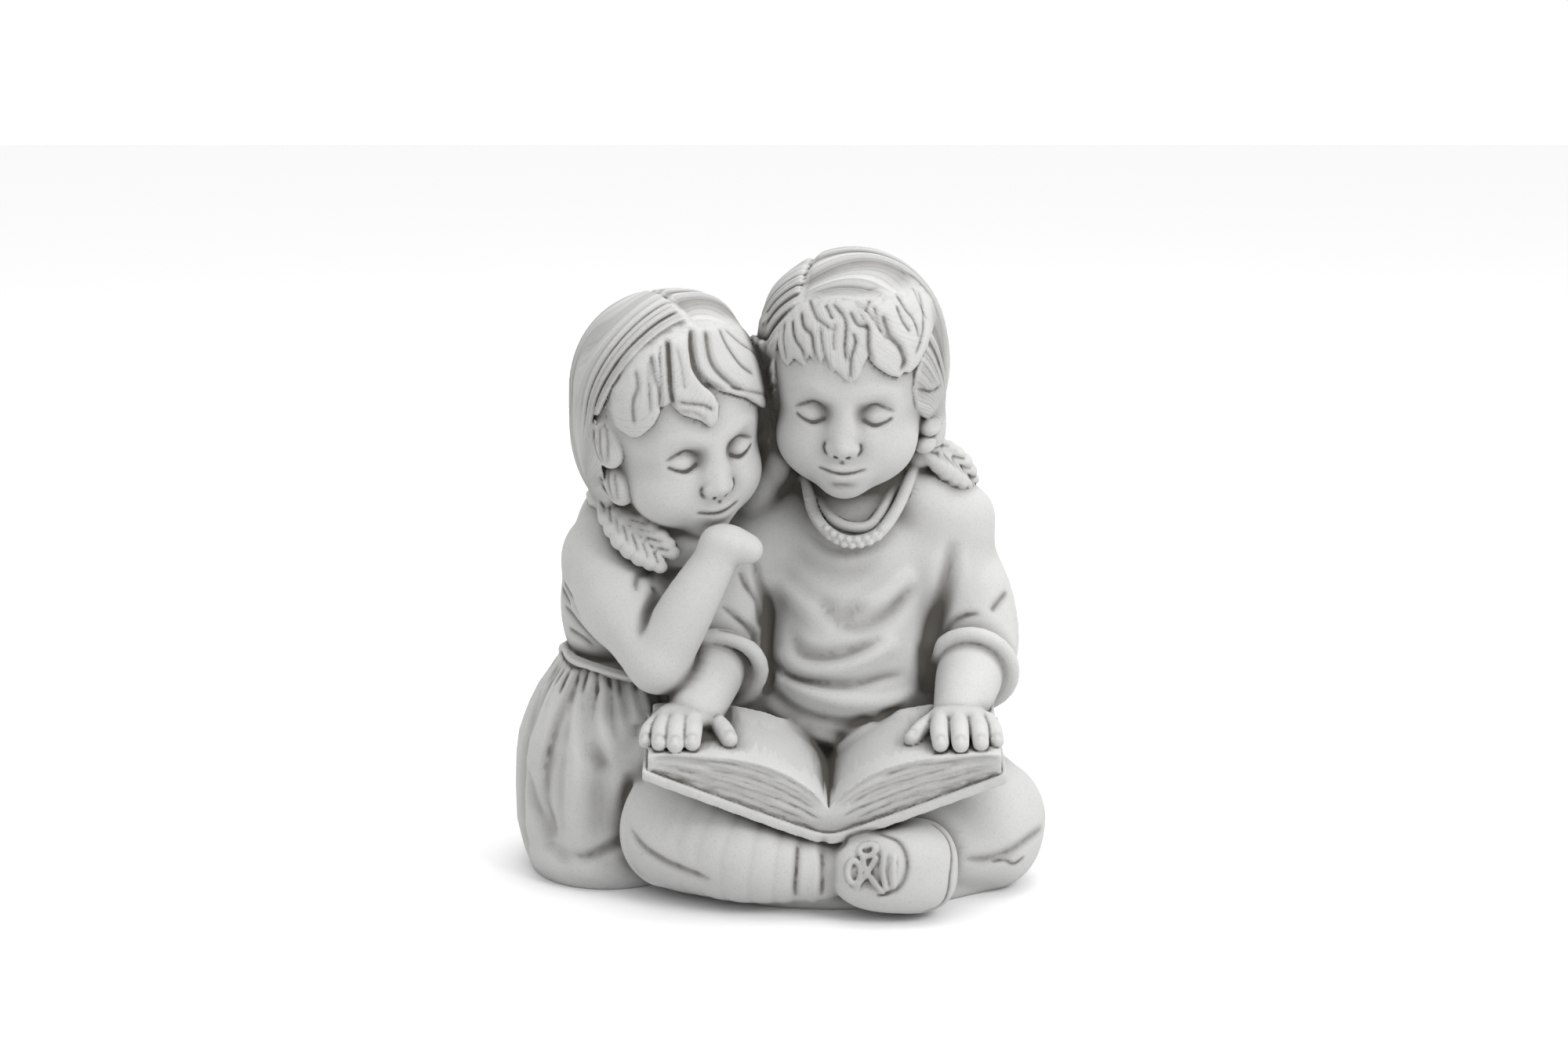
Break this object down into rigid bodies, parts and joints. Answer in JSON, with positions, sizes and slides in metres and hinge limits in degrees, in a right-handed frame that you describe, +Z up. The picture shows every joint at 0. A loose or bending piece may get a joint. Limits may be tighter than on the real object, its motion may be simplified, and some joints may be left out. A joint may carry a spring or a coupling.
{
  "type": "children garden statue",
  "caption": "Cast-stone garden statue of children reading: one sits cross-legged with an open book, one kneels beside and leans in.",
  "frame": {"origin": "on the flat underside, near the middle of the footprint", "axes": "+Z up, -Y to the front where the faces and the book look, +X along the width to the child with the book"},
  "size_m": [0.3189, 0.2049, 0.3736],
  "materials": {
    "cast_stone": "matt pale grey cast stone with a darker grey wash in the recesses"
  },
  "bodies": {
    "root": {"children_statue": "cast_stone"}
  },
  "joints": []
}
